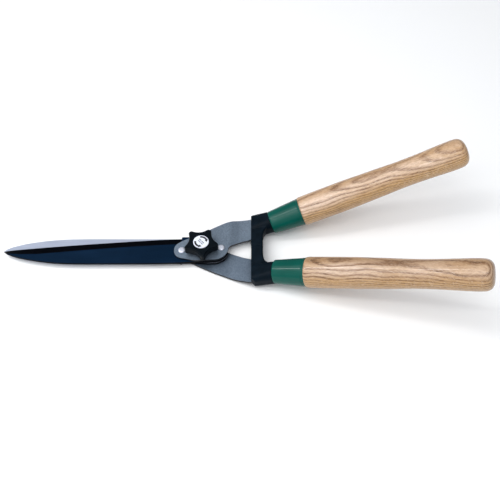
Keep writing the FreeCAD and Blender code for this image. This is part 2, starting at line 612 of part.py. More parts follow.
os.makedirs("parts", exist_ok=True)
for name in sorted(PARTS):
    shape = PARTS[name]
    bb = shape.optimalBoundingBox()
    print("%-18s vol %9.1f valid %s solids %d  x %.1f..%.1f y %.1f..%.1f z %.1f..%.1f" % (
        name, shape.Volume, shape.isValid(), len(shape.Solids), bb.XMin, bb.XMax, bb.YMin, bb.YMax, bb.ZMin, bb.ZMax))
    shape.exportStep("parts/%s.step" % name)
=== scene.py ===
import math

import bmesh
import bpy
from mathutils import Matrix, Vector, noise


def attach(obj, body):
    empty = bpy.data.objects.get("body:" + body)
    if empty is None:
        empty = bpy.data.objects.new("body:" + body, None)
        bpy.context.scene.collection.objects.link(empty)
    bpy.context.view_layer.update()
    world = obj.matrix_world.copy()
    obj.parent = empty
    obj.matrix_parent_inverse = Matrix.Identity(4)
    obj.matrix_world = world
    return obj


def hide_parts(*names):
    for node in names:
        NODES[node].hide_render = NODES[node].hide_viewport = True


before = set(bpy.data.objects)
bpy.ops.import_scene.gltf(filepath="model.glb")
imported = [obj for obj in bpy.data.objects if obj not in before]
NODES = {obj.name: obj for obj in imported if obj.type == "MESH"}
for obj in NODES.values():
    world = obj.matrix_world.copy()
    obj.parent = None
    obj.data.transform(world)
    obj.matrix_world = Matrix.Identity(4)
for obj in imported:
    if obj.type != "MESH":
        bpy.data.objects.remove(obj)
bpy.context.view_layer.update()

MM = 0.001

# ------------------------------------------------------------------ dimensions (mm)
HX, HY, HZ = 116.0, 42.42, 28.7          # start of the exposed wood on the handle axis
YAW, CRANK = 12.77, 17.23
FERRULE_L, FERRULE_R0, FERRULE_R1 = 37.4, 13.43, 16.2
Z_HUB, Z_LOBE, Z_KNOB = 15.6, 17.9, 27.2
KNOB_TIP, KNOB_TIP_R, KNOB_VALLEY, KNOB_LOBES, KNOB_PHASE = 20.0, 3.2, 14.2, 5, -11.0
CAP_R, CAP_TOP = 8.9, 27.6


# ------------------------------------------------------------------ small helpers
def lin(r, g, b):
    """sRGB 0..255 to linear."""
    out = []
    for c in (r, g, b):
        c = c / 255.0
        out.append(c / 12.92 if c <= 0.04045 else ((c + 0.055) / 1.055) ** 2.4)
    return (out[0], out[1], out[2], 1.0)


def new_object(name, verts, faces, smooth=True):
    me = bpy.data.meshes.new(name)
    me.from_pydata([(x * MM, y * MM, z * MM) for x, y, z in verts], [], faces)
    me.validate()
    bm = bmesh.new()
    bm.from_mesh(me)
    bmesh.ops.recalc_face_normals(bm, faces=bm.faces)
    bm.to_mesh(me)
    bm.free()
    for p in me.polygons:
        p.use_smooth = smooth
    ob = bpy.data.objects.new(name, me)
    bpy.context.scene.collection.objects.link(ob)
    return ob


def sharp_by_angle(ob, degrees):
    """Smooth shading with edges sharper than an angle kept crisp."""
    me = ob.data
    bm = bmesh.new()
    bm.from_mesh(me)
    for f in bm.faces:
        f.smooth = True
    lim = math.radians(degrees)
    for e in bm.edges:
        e.smooth = not (len(e.link_faces) == 2 and e.calc_face_angle(0.0) > lim)
    bm.to_mesh(me)
    bm.free()


def lathe(name, rings, segs=128, close=True):
    """Closed surface of revolution about local X; rings are (s, r) in mm, r 0 at an end makes a pole."""
    verts, faces, rows = [], [], []
    for s, r in rings:
        if r < 1e-6:
            rows.append([len(verts)])
            verts.append((s, 0.0, 0.0))
        else:
            row = []
            for i in range(segs):
                a = 2 * math.pi * i / segs
                row.append(len(verts))
                verts.append((s, r * math.cos(a), r * math.sin(a)))
            rows.append(row)
    pairs = list(zip(rows, rows[1:]))
    if close:
        pairs.append((rows[-1], rows[0]))
    for a, b in pairs:
        for i in range(segs):
            j = (i + 1) % segs
            if len(a) == 1 and len(b) == 1:
                continue
            if len(a) == 1:
                faces.append((a[0], b[i], b[j]))
            elif len(b) == 1:
                faces.append((a[i], b[0], a[j]))
            else:
                faces.append((a[i], b[i], b[j], a[j]))
    return new_object(name, verts, faces)


def handle_matrix(side):
    """Local X along the handle, origin at the start of the exposed wood. side +1 is the handle at +Y."""
    rot = Matrix.Rotation(math.radians(YAW) * side, 4, "Z") @ Matrix.Rotation(math.radians(-CRANK), 4, "Y")
    return Matrix.Translation((HX * MM, HY * side * MM, HZ * MM)) @ rot


def smooth_curve(points, x):
    """Monotone-ish Catmull-Rom through (x, y) points."""
    n = len(points)
    for i in range(n - 1):
        x0, y0 = points[i]
        x1, y1 = points[i + 1]
        if x <= x1 or i == n - 2:
            h = x1 - x0
            xa, ya = points[i - 1] if i > 0 else (x0 - h, y0 - (y1 - y0))
            xb, yb = points[i + 2] if i + 2 < n else (x1 + h, y1 + (y1 - y0))
            m0 = (y1 - ya) / (x1 - xa)
            m1 = (yb - y0) / (xb - x0)
            t = min(1.0, max(0.0, (x - x0) / h))
            return ((2 * t ** 3 - 3 * t ** 2 + 1) * y0 + (t ** 3 - 2 * t ** 2 + t) * h * m0
                    + (-2 * t ** 3 + 3 * t ** 2) * y1 + (t ** 3 - t ** 2) * h * m1)
    return points[-1][1]


# ------------------------------------------------------------------ node graph helper
class Graph:
    def __init__(self, name):
        self.mat = bpy.data.materials.new(name)
        self.mat.use_nodes = True
        self.t = self.mat.node_tree
        self.t.nodes.clear()
        self.out = self.t.nodes.new("ShaderNodeOutputMaterial")
        self.bsdf = self.t.nodes.new("ShaderNodeBsdfPrincipled")
        self.t.links.new(self.bsdf.outputs[0], self.out.inputs["Surface"])

    def put(self, socket, value):
        if isinstance(value, bpy.types.NodeSocket):
            self.t.links.new(value, socket)
        else:
            socket.default_value = value

    def set(self, **kw):
        for k, v in kw.items():
            self.put(self.bsdf.inputs[k.replace("_", " ")], v)

    def mm(self, local=None):
        """Object coordinates in millimetres, or those of a tilted frame."""
        tc = self.t.nodes.new("ShaderNodeTexCoord")
        src = tc.outputs["Object"]
        if local is not None:
            mp = self.t.nodes.new("ShaderNodeMapping")
            mp.vector_type = "TEXTURE"
            mp.inputs["Location"].default_value = local.to_translation()
            mp.inputs["Rotation"].default_value = local.to_euler("XYZ")
            self.t.links.new(src, mp.inputs["Vector"])
            src = mp.outputs[0]
        m = self.t.nodes.new("ShaderNodeVectorMath")
        m.operation = "SCALE"
        self.t.links.new(src, m.inputs[0])
        m.inputs["Scale"].default_value = 1000.0
        return m.outputs[0]

    def normal(self):
        return self.t.nodes.new("ShaderNodeNewGeometry").outputs["True Normal"]

    def object_normal(self):
        tc = self.t.nodes.new("ShaderNodeTexCoord")
        return tc.outputs["Normal"]

    def sep(self, v):
        n = self.t.nodes.new("ShaderNodeSeparateXYZ")
        self.t.links.new(v, n.inputs[0])
        return n.outputs[0], n.outputs[1], n.outputs[2]

    def comb(self, x, y, z):
        n = self.t.nodes.new("ShaderNodeCombineXYZ")
        for s, v in zip(n.inputs, (x, y, z)):
            self.put(s, v)
        return n.outputs[0]

    def scaled(self, v, x, y, z, ox=0.0, oy=0.0, oz=0.0):
        n = self.t.nodes.new("ShaderNodeVectorMath")
        n.operation = "MULTIPLY_ADD"
        self.put(n.inputs[0], v)
        n.inputs[1].default_value = (x, y, z)
        n.inputs[2].default_value = (ox, oy, oz)
        return n.outputs[0]

    def math(self, op, a, b=None, c=None, clamp=False):
        n = self.t.nodes.new("ShaderNodeMath")
        n.operation = op
        n.use_clamp = clamp
        self.put(n.inputs[0], a)
        if b is not None:
            self.put(n.inputs[1], b)
        if c is not None:
            self.put(n.inputs[2], c)
        return n.outputs[0]

    def noise(self, v, scale=1.0, detail=2.0, rough=0.5, distort=0.0):
        n = self.t.nodes.new("ShaderNodeTexNoise")
        self.put(n.inputs["Vector"], v)
        n.inputs["Scale"].default_value = scale
        n.inputs["Detail"].default_value = detail
        n.inputs["Roughness"].default_value = rough
        n.inputs["Distortion"].default_value = distort
        return n.outputs["Fac"]

    def voronoi(self, v, scale=1.0, feature="F1", randomness=1.0, out="Distance"):
        n = self.t.nodes.new("ShaderNodeTexVoronoi")
        n.feature = feature
        self.put(n.inputs["Vector"], v)
        n.inputs["Scale"].default_value = scale
        n.inputs["Randomness"].default_value = randomness
        return n.outputs[out]

    def span(self, v, a, b, c=0.0, d=1.0, smooth=False):
        n = self.t.nodes.new("ShaderNodeMapRange")
        n.clamp = True
        n.interpolation_type = "SMOOTHSTEP" if smooth else "LINEAR"
        self.put(n.inputs["Value"], v)
        n.inputs["From Min"].default_value = a
        n.inputs["From Max"].default_value = b
        n.inputs["To Min"].default_value = c
        n.inputs["To Max"].default_value = d
        return n.outputs["Result"]

    def ramp(self, fac, stops, mode="LINEAR"):
        n = self.t.nodes.new("ShaderNodeValToRGB")
        n.color_ramp.interpolation = mode
        el = n.color_ramp.elements
        while len(el) < len(stops):
            el.new(0.5)
        for e, (pos, col) in zip(el, stops):
            e.position = pos
            e.color = col
        self.put(n.inputs[0], fac)
        return n.outputs[0]

    def mix(self, fac, a, b, mode="MIX"):
        n = self.t.nodes.new("ShaderNodeMix")
        n.data_type = "RGBA"
        n.blend_type = mode
        self.put(n.inputs[0], fac)
        self.put(n.inputs[6], a)
        self.put(n.inputs[7], b)
        return n.outputs[2]

    def lerp(self, fac, a, b):
        n = self.t.nodes.new("ShaderNodeMix")
        n.data_type = "FLOAT"
        self.put(n.inputs[0], fac)
        self.put(n.inputs[2], a)
        self.put(n.inputs[3], b)
        return n.outputs[0]

    def bump(self, height, strength, distance_mm, normal=None):
        n = self.t.nodes.new("ShaderNodeBump")
        n.inputs["Strength"].default_value = strength
        n.inputs["Distance"].default_value = distance_mm * MM
        self.put(n.inputs["Height"], height)
        if normal is not None:
            self.put(n.inputs["Normal"], normal)
        return n.outputs[0]

    def hollow(self, distance_mm, lo=0.35, hi=1.0):
        """0 in corners and under overhangs, 1 in the open."""
        n = self.t.nodes.new("ShaderNodeAmbientOcclusion")
        n.samples = 8
        n.inputs["Distance"].default_value = distance_mm * MM
        return self.span(n.outputs["AO"], lo, hi)

    def edges(self, lo=0.502, hi=0.56):
        """1 on outward edges, from the mesh's own curvature."""
        g = self.t.nodes.new("ShaderNodeNewGeometry")
        return self.span(g.outputs["Pointiness"], lo, hi)


# ------------------------------------------------------------------ materials
def hammer_height(g, p):
    """Hammered paint: soft dimples about 1.5 mm across, with finer orange peel."""
    warp = g.noise(g.scaled(p, 0.35, 0.35, 0.35), 1.0, 2.0, 0.5)
    pv = g.t.nodes.new("ShaderNodeVectorMath")
    pv.operation = "MULTIPLY_ADD"
    g.t.links.new(g.comb(warp, warp, warp), pv.inputs[0])
    pv.inputs[1].default_value = (1.4, 1.1, 1.2)
    g.t.links.new(p, pv.inputs[2])
    cells = g.voronoi(pv.outputs[0], 0.62, "SMOOTH_F1", 0.9)
    peel = g.noise(p, 1.9, 3.0, 0.55)
    return cells, peel


def hammered_look(g, p, dark, mid, light):
    cells, peel = hammer_height(g, p)
    patch = g.noise(p, 0.055, 3.0, 0.55)
    col = g.mix(g.span(cells, 0.1, 0.75), light, dark)
    col = g.mix(g.span(peel, 0.38, 0.66), mid, col)
    col = g.mix(g.span(patch, 0.35, 0.7, 0.0, 0.35), col, dark)
    rough = g.span(peel, 0.3, 0.7, 0.34, 0.52)
    height = g.math("ADD", g.math("MULTIPLY", cells, 0.8), g.math("MULTIPLY", peel, 0.5))
    return col, rough, height


def hammered_grey(name, painted_shade_amount, dark, mid, light):
    """Hammered grey on the faces, with painted shade: near-black on the sheared edges, darker in hollows and under
    overhangs.
    """
    g = Graph(name)
    p = g.mm()
    nx, ny, nz = g.sep(g.normal())
    col, rough, height = hammered_look(g, p, dark, mid, light)
    face = g.span(g.math("ABSOLUTE", nz), 0.55, 0.8)
    # painted shade: the grey darkens towards dark blue-grey wherever the occlusion mask finds nearby parts, scaled by
    # the second argument
    painted_shade = g.hollow(18.0, 0.35, 0.97)
    col = g.mix(painted_shade, g.mix(painted_shade_amount, col, lin(26, 38, 50)), col)
    # painted shade: the side walls are painted near-black because they face away from the light
    col = g.mix(face, lin(8, 12, 18), col)
    g.set(Base_Color=col, Roughness=rough, Metallic=g.math("MULTIPLY", face, 0.45),
          Normal=g.bump(height, 0.5, 0.12))
    g.bsdf.inputs["Specular IOR Level"].default_value = 0.2
    g.bsdf.inputs["Coat Weight"].default_value = 0.12
    g.bsdf.inputs["Coat Roughness"].default_value = 0.25
    return g.mat


def coated_blade(kind):
    """Black coated blade with its mating face ground bright."""
    g = Graph("coated_steel_" + kind)
    p = g.mm()
    x, y, z = g.sep(p)
    nx, ny, nz = g.sep(g.normal())
    # black coat
    cloud = g.noise(g.scaled(p, 0.02, 0.05, 0.05), 1.0, 4.0, 0.55)
    grain = g.noise(p, 2.4, 3.0, 0.6)
    black = g.mix(g.span(cloud, 0.35, 0.7), lin(4, 25, 45), lin(9, 32, 55))
    black = g.mix(g.span(grain, 0.45, 0.75, 0.0, 0.35), black, lin(3, 12, 24))
    # painted shade: bevels and side walls, any face not lying flat, are painted near-black because they turn away
    # from the light
    slope = g.span(g.math("ABSOLUTE", nz), 0.985, 0.999, 1.0, 0.0)
    black = g.mix(slope, black, lin(0, 1, 5))
    scratch_v = g.scaled(p, 0.02, 1.1, 1.1)
    scratch = g.span(g.noise(scratch_v, 1.0, 5.0, 0.7), 0.68, 0.74)
    black = g.mix(g.math("MULTIPLY", scratch, 0.16), black, lin(70, 84, 98))
    black_rough = g.span(grain, 0.3, 0.75, 0.34, 0.48)
    # ground steel
    lines = g.noise(g.scaled(p, 1.6, 0.05, 0.05), 1.0, 5.0, 0.7)
    lines2 = g.noise(g.scaled(p, 0.03, 2.2, 2.2), 1.0, 4.0, 0.7)
    haze = g.noise(g.scaled(p, 0.02, 0.06, 0.06), 1.0, 3.0, 0.5)
    steel = g.mix(g.span(lines2, 0.3, 0.7), lin(168, 177, 196), lin(194, 203, 220))
    steel = g.mix(g.span(lines, 0.4, 0.7, 0.0, 0.3), steel, lin(176, 184, 200))
    steel = g.mix(g.span(haze, 0.4, 0.7, 0.0, 0.4), steel, lin(186, 188, 208))
    steel_rough = g.span(lines2, 0.25, 0.75, 0.26, 0.42)
    # painted shade: the ground steel darkens where the other blade and nearby parts overlap it
    steel = g.mix(g.hollow(6.0, 0.35, 0.85), lin(70, 76, 84), steel)
    if kind == "rear":
        steel_mask = g.math("MULTIPLY", g.span(nz, 0.8, 0.95), g.span(z, 6.86, 6.9))
    else:
        steel_mask = g.math("MULTIPLY", g.span(nz, -0.95, -0.8, 1.0, 0.0), g.span(z, 7.5, 7.55, 1.0, 0.0))
    col = g.mix(steel_mask, black, steel)
    rough = g.lerp(steel_mask, black_rough, steel_rough)
    height = g.lerp(steel_mask, g.math("MULTIPLY", grain, 0.25), g.math("MULTIPLY", lines2, 0.3))
    g.set(Base_Color=col, Roughness=rough, Metallic=steel_mask, Normal=g.bump(height, 0.4, 0.08))
    g.bsdf.inputs["Specular IOR Level"].default_value = 0.035
    return g.mat


def steel_finish(name, base, light, rough0, rough1, scale=1.0):
    g = Graph(name)
    p = g.mm()
    n1 = g.noise(p, 0.9 * scale, 4.0, 0.6)
    n2 = g.noise(p, 4.5 * scale, 3.0, 0.6)
    col = g.mix(g.span(n1, 0.35, 0.68), base, light)
    col = g.mix(g.span(n2, 0.55, 0.8, 0.0, 0.35), col, base)
    g.set(Base_Color=col, Roughness=g.span(n2, 0.3, 0.7, rough0, rough1), Metallic=1.0,
          Normal=g.bump(n2, 0.25, 0.05))
    return g.mat


def moulded_plastic(name, dark, light, rough0, rough1, bump=0.2, scale=3.5, edge=None, spec=0.5):
    g = Graph(name)
    p = g.mm()
    g.bsdf.inputs["Specular IOR Level"].default_value = spec
    n1 = g.noise(p, scale, 4.0, 0.6)
    n2 = g.noise(p, 0.12, 3.0, 0.5)
    col = g.mix(g.span(n2, 0.3, 0.7), dark, light)
    # painted highlight: sharp outward edges get a lighter colour where they would catch the light
    if edge is not None:
        e = g.math("MULTIPLY", g.edges(0.515, 0.57), g.span(g.noise(p, 0.8, 3.0, 0.6), 0.35, 0.7, 0.3, 1.0))
        col = g.mix(e, col, edge)
    g.set(Base_Color=col, Roughness=g.span(n1, 0.3, 0.7, rough0, rough1), Normal=g.bump(n1, bump, 0.06))
    return g.mat


def green_enamel(side):
    """Glossy enamel, baked on in one coat, in the handle's own frame."""
    g = Graph("green_enamel_" + ("front" if side > 0 else "rear"))
    p = g.mm(handle_matrix(side))
    n1 = g.noise(g.scaled(p, 0.02, 0.06, 0.06, 3.0 * side), 1.0, 3.0, 0.5)
    peel = g.noise(p, 0.5, 2.0, 0.45)
    fine = g.noise(p, 3.0, 3.0, 0.6)
    col = g.mix(g.span(n1, 0.3, 0.7), lin(1, 70, 60), lin(7, 83, 73))
    col = g.mix(g.span(fine, 0.55, 0.8, 0.0, 0.2), col, lin(2, 58, 50))
    # pale chips on the sharpest edges: worn enamel, and on the pin heads also a painted glint
    chip_and_glint = g.math("MULTIPLY", g.edges(0.56, 0.62), g.span(g.noise(p, 0.9, 4.0, 0.7), 0.6, 0.64))
    col = g.mix(g.math("MULTIPLY", chip_and_glint, 0.6), col, lin(110, 124, 122))
    g.set(Base_Color=col, Roughness=g.span(fine, 0.3, 0.7, 0.2, 0.3), Normal=g.bump(peel, 0.06, 0.12))
    g.bsdf.inputs["Specular IOR Level"].default_value = 0.03
    g.bsdf.inputs["Coat Weight"].default_value = 0.36
    g.bsdf.inputs["Coat Roughness"].default_value = 0.03
    return g.mat


def ash_wood(name, side, seed, ring_angle, pith, spacing, run_out, wander, curl, underside_shade, tint, knot):
    """Ring-porous timber in handle coordinates: X along the grain, rings round a distant pith."""
    g = Graph(name)
    p = g.mm(handle_matrix(side))
    x, y, z = g.sep(p)
    a = math.radians(ring_angle)
    ca, sa = math.cos(a), math.sin(a)
    low = g.noise(g.scaled(p, 1 / 75.0, 1 / 40.0, 1 / 40.0, seed, seed * 0.7, 0.0), 1.0, 1.0, 0.4)
    mid = g.noise(g.scaled(p, 1 / 24.0, 1 / 12.0, 1 / 12.0, seed * 1.3, 3.1, 0.0), 1.0, 2.0, 0.5)
    fib = g.noise(g.scaled(p, 0.035, 0.9, 0.9, seed, 0.0, 5.0), 1.0, 4.0, 0.6)
    dy = g.math("ADD", y, pith * ca)
    dz = g.math("ADD", z, pith * sa)
    rho = g.math("SQRT", g.math("ADD", g.math("MULTIPLY", dy, dy), g.math("MULTIPLY", dz, dz)))
    rho = g.math("ADD", rho, g.math("MULTIPLY", g.math("SUBTRACT", low, 0.5), wander))
    rho = g.math("ADD", rho, g.math("MULTIPLY", g.math("SUBTRACT", mid, 0.5), curl))
    rho = g.math("ADD", rho, g.math("MULTIPLY", g.math("SUBTRACT", fib, 0.5), 0.8))
    rho = g.math("ADD", rho, g.math("MULTIPLY", x, run_out))
    q = g.math("DIVIDE", rho, spacing)
    ph = g.math("FRACT", q)
    # no two rings are alike: their strength follows the ring's own number
    year = g.noise(g.comb(g.math("FLOOR", q), seed, 0.5), 0.83, 0.0, 0.5)
    early = g.ramp(ph, [(0.0, (1, 1, 1, 1)), (0.18, (0.95, 0.95, 0.95, 1)), (0.38, (0.35, 0.35, 0.35, 1)),
                        (0.55, (0.05, 0.05, 0.05, 1)), (0.80, (0.10, 0.10, 0.10, 1)), (0.93, (0.30, 0.30, 0.30, 1)),
                        (1.0, (1, 1, 1, 1))], "EASE")
    early = g.math("MULTIPLY", early, g.span(year, 0.3, 0.6, 0.6, 1.0))
    patchy = g.noise(g.scaled(p, 1 / 14.0, 1 / 5.0, 1 / 5.0, seed, 9.0, seed), 1.0, 3.0, 0.6)
    early = g.math("MULTIPLY", early, g.span(patchy, 0.3, 0.52, 0.5, 1.0))
    pores = g.span(g.noise(g.scaled(p, 0.085, 1.5, 1.5, 0.0, seed, 2.0), 1.0, 2.0, 0.55), 0.46, 0.6)
    fine = g.span(g.noise(g.scaled(p, 0.20, 1.7, 1.7, 1.0, seed, 0.0), 1.0, 3.0, 0.65), 0.50, 0.64)
    tone = g.noise(g.scaled(p, 1 / 85.0, 1 / 20.0, 1 / 20.0, seed * 2.0, 1.0, 4.0), 1.0, 2.0, 0.5)
    # across the section: pale and pinkish in the middle; painted shade makes the underside yellower and darker and
    # browns the upper edge
    under = g.math("ADD", g.math("MULTIPLY", y, math.cos(math.radians(215.0))),
                   g.math("MULTIPLY", z, math.sin(math.radians(215.0))))
    under = g.span(under, 1.0, 11.0, 0.0, 1.0, True)
    light = g.mix(g.span(tone, 0.38, 0.62), lin(222, 196, 176), lin(196, 161, 124))
    light = g.mix(g.math("MULTIPLY", under, underside_shade), light, lin(202, 161, 104))
    # painted shade: darker brown towards the upper edge of the round
    upper_edge_shade = g.span(g.math("ADD", g.math("MULTIPLY", y, math.cos(math.radians(37.0))),
                         g.math("MULTIPLY", z, math.sin(math.radians(37.0)))), 7.0, 15.5, 0.0, 0.7, True)
    light = g.mix(upper_edge_shade, light, lin(184, 148, 112))
    mid_c = g.mix(under, lin(136, 99, 68), lin(146, 110, 62))
    dark_c = lin(78, 50, 32)
    col = g.mix(early, light, mid_c)
    col = g.mix(g.math("MULTIPLY", g.math("MULTIPLY", early, pores), 0.92), col, dark_c)
    col = g.mix(g.math("MULTIPLY", fine, 0.5), col, lin(128, 92, 60))
    col = g.mix(g.span(fib, 0.5, 0.75, 0.0, 0.35), col, lin(180, 142, 104))
    # ray flecks, short and slanting across the grain, strongest at the grip end
    fl = g.noise(g.scaled(g.comb(g.math("ADD", x, g.math("MULTIPLY", y, 1.5)), y, z), 0.85, 0.30, 0.30, seed), 1.0, 2.0, 0.5)
    fl = g.math("MULTIPLY", g.span(fl, 0.56, 0.68), g.span(x, 80.0, 160.0, 0.25, 0.8))
    col = g.mix(g.math("MULTIPLY", fl, 0.5), col, lin(224, 200, 178))
    spark = g.span(g.noise(g.scaled(p, 0.30, 1.4, 1.4, 7.0, seed, 3.0), 1.0, 2.0, 0.6), 0.54, 0.66)
    col = g.mix(g.math("MULTIPLY", spark, 0.4), col, lin(226, 202, 178))
    # a pin knot
    if knot is not None:
        kx, ky, kz, kr = knot
        d = g.t.nodes.new("ShaderNodeVectorMath")
        d.operation = "LENGTH"
        g.t.links.new(g.scaled(p, 0.45, 1.0, 1.0, -kx * 0.45, -ky, -kz), d.inputs[0])
        col = g.mix(g.span(d.outputs["Value"], kr * 0.5, kr, 0.85, 0.0, True), col, lin(70, 44, 26))
    # scorched line where the wood was turned against the ferrule, darker end grain
    col = g.mix(g.span(x, 0.2, 1.6, 0.5, 0.0), col, lin(120, 86, 56))
    end = g.span(x, 196.0, 200.5, 0.0, 0.35, True)
    col = g.mix(end, col, lin(150, 116, 84))
    col = g.mix(1.0, col, tint, "MULTIPLY")
    rough = g.math("ADD", g.span(fib, 0.3, 0.7, 0.34, 0.46), g.math("MULTIPLY", pores, 0.1))
    h = g.math("SUBTRACT", g.math("MULTIPLY", fib, 0.3), g.math("MULTIPLY", g.math("MULTIPLY", early, pores), 0.8))
    g.set(Base_Color=col, Roughness=rough, Normal=g.bump(h, 0.35, 0.12))
    g.bsdf.inputs["Specular IOR Level"].default_value = 0.35
    g.bsdf.inputs["Coat Weight"].default_value = 0.55
    g.bsdf.inputs["Coat Roughness"].default_value = 0.08
    g.bsdf.inputs["Coat IOR"].default_value = 1.5
    return g.mat


# the upper sheet gets lighter paint colours than the lower, a painted-light copy of the same grey brightened against
# the knob's shadow; the second argument sets how much painted shade darkens the hollows
M_HAMMER_F = hammered_grey("hammered_grey_upper", 0.05, lin(88, 100, 113), lin(110, 123, 138), lin(131, 145, 159))
M_HAMMER_R = hammered_grey("hammered_grey_lower", 1.0, lin(78, 90, 104), lin(101, 114, 129), lin(122, 136, 151))
M_FRONT = coated_blade("front")
M_REAR = coated_blade("rear")
M_ZINC = steel_finish("zinc_plated_steel", lin(204, 207, 218), lin(222, 225, 234), 0.45, 0.6)
M_SPRING = steel_finish("spring_steel_blued", lin(60, 66, 76), lin(96, 102, 112), 0.28, 0.45)
M_BRONZE = steel_finish("oiled_bronze", lin(150, 104, 58), lin(186, 138, 84), 0.3, 0.5)
M_WASHER = moulded_plastic("washer_nylon", lin(196, 198, 196), lin(214, 215, 210), 0.4, 0.6)
# the knob's and the bumper's edge colours are painted highlights
M_KNOB = moulded_plastic("knob_black_plastic", lin(3, 9, 14), lin(7, 15, 22), 0.28, 0.42, 0.22, 3.0, lin(30, 44, 54), 0.06)
M_CAP = moulded_plastic("cap_white_plastic", lin(214, 219, 232), lin(228, 232, 244), 0.3, 0.42, 0.1, 3.5, None, 0.2)
M_ARROW = moulded_plastic("cap_black_print", lin(8, 10, 12), lin(18, 20, 24), 0.4, 0.55, 0.15)
M_DASH = moulded_plastic("cap_grey_print", lin(92, 98, 108), lin(118, 124, 134), 0.4, 0.55, 0.15)
M_RUBBER = moulded_plastic("bumper_black_rubber", lin(2, 12, 20), lin(7, 20, 30), 0.38, 0.52, 0.3, 2.2, lin(22, 38, 50), 0.06)
M_GREEN_F = green_enamel(1)
M_GREEN_R = green_enamel(-1)


def paint(ob, mat):
    ob.data.materials.clear()
    ob.data.materials.append(mat)


def slots_only(ob, mat):
    """CAD nodes keep their slots; only the material in them changes."""
    if not ob.material_slots:
        ob.data.materials.append(mat)
    for s in ob.material_slots:
        s.material = mat


for node, mat in {
    "front_blade": M_FRONT, "rear_blade": M_REAR, "front_tang": M_HAMMER_F, "rear_tang": M_HAMMER_R,
    "front_rivets": M_ZINC, "rear_rivets": M_ZINC,
    "pivot_bolt": M_ZINC, "pivot_bush": M_BRONZE, "pivot_washer": M_WASHER, "thrust_washer": M_ZINC,
    "spring_washer": M_SPRING, "knob_body": M_KNOB, "knob_nut": M_ZINC, "knob_cap": M_CAP,
    "front_bumper": M_RUBBER, "rear_bumper": M_RUBBER, "front_ferrule": M_GREEN_F, "rear_ferrule": M_GREEN_R,
    "front_ferrule_pin": M_GREEN_F, "rear_ferrule_pin": M_GREEN_R,
}.items():
    slots_only(NODES[node], mat)


# ------------------------------------------------------------------ moulded edges
def moulded(ob, voxel, rounds, factor=0.5):
    """Soft moulded edges: the solid remeshed finely, then relaxed."""
    m = ob.modifiers.new("moulded_skin", "REMESH")
    m.mode = "VOXEL"
    m.voxel_size = voxel * MM
    m.use_smooth_shade = True
    k = ob.modifiers.new("moulded_edges", "SMOOTH")
    k.factor = factor
    k.iterations = rounds


moulded(NODES["front_bumper"], 0.34, 6)
moulded(NODES["rear_bumper"], 0.34, 6)
moulded(NODES["knob_body"], 0.22, 4)


# ------------------------------------------------------------------ wooden handles
WOOD_TOP = [(8.0, 17.35), (30.0, 17.5), (58.0, 17.45), (76.0, 17.05), (95.0, 16.6),
            (109.0, 16.15), (122.0, 15.8), (137.0, 15.8), (152.0, 16.2), (166.0, 16.8), (178.0, 17.2), (186.0, 17.25),
            (190.2, 17.08), (193.2, 16.6), (195.5, 15.65), (197.55, 14.1), (199.1, 12.0), (200.1, 9.4), (200.6, 6.2),
            (200.83, 3.0), (200.9, 0.0)]
REAR_SHIFT = 3.0
WALL = 1.2


def cone_r(s):
    return FERRULE_R1 + (FERRULE_R1 - FERRULE_R0) * s / FERRULE_L


def wood_rings(shift):
    e = 1.7 - FERRULE_L
    rings = [(e + shift, 0.0), (e + shift, cone_r(e) - WALL - 0.06), (shift, cone_r(0) - WALL - 0.06),
             (shift, 16.2), (shift + 0.25, 16.5), (shift + 0.7, 16.75), (shift + 1.4, 16.97)]
    pts = [(shift + 1.4, 16.97)] + WOOD_TOP
    s = shift + 2.4
    while s < 188.0:
        rings.append((s, smooth_curve(pts, s)))
        s += 1.1
    # blunt rounded end: a parametric curve through the shoulder points
    tail = [p for p in WOOD_TOP if p[0] >= 186.0]
    for i in range(len(tail) - 1):
        p1, p2 = tail[i], tail[i + 1]
        p0 = tail[i - 1] if i else (178.0, 17.2)
        p3 = tail[i + 2] if i + 2 < len(tail) else (200.83, -3.0)
        for j in range(5):
            t = j / 5
            q = [0.5 * (2 * p1[k] + (p2[k] - p0[k]) * t + (2 * p0[k] - 5 * p1[k] + 4 * p2[k] - p3[k]) * t * t
                        + (3 * p1[k] - p0[k] - 3 * p2[k] + p3[k]) * t ** 3) for k in (0, 1)]
            if q[0] > 188.3:
                rings.append((min(q[0], 200.88), q[1]))
    rings.append((200.88, 0.0))
    return rings


def bake(ob, side):
    ob.data.transform(handle_matrix(side))
    if ob.data.polygons:
        ob.data.update()
    return ob


def make_handle(name, side, mat, seed, shift):
    ob = lathe(name, wood_rings(shift), 144, close=False)
    me = ob.data
    # turned and sanded by hand: the section is never quite round or straight
    for v in me.vertices:
        s = v.co.x * 1000
        if s < shift + 1.5:
            continue
        r = math.hypot(v.co.y, v.co.z)
        if r < 1e-6:
            continue
        q = noise.noise(Vector((s / 34.0, v.co.y * 1000 / 16.0 + seed, v.co.z * 1000 / 16.0)))
        q2 = noise.noise(Vector((s / 9.0, v.co.y * 1000 / 7.0, v.co.z * 1000 / 7.0 + seed)))
        k = 1.0 - (0.16 + 0.16 * q + 0.04 * q2) * min(1.0, (s - shift - 1.5) / 6.0) / (r * 1000) * min(1.0, r * 100)
        v.co.y *= k
        v.co.z *= k
    paint(ob, mat)
    return bake(ob, side)


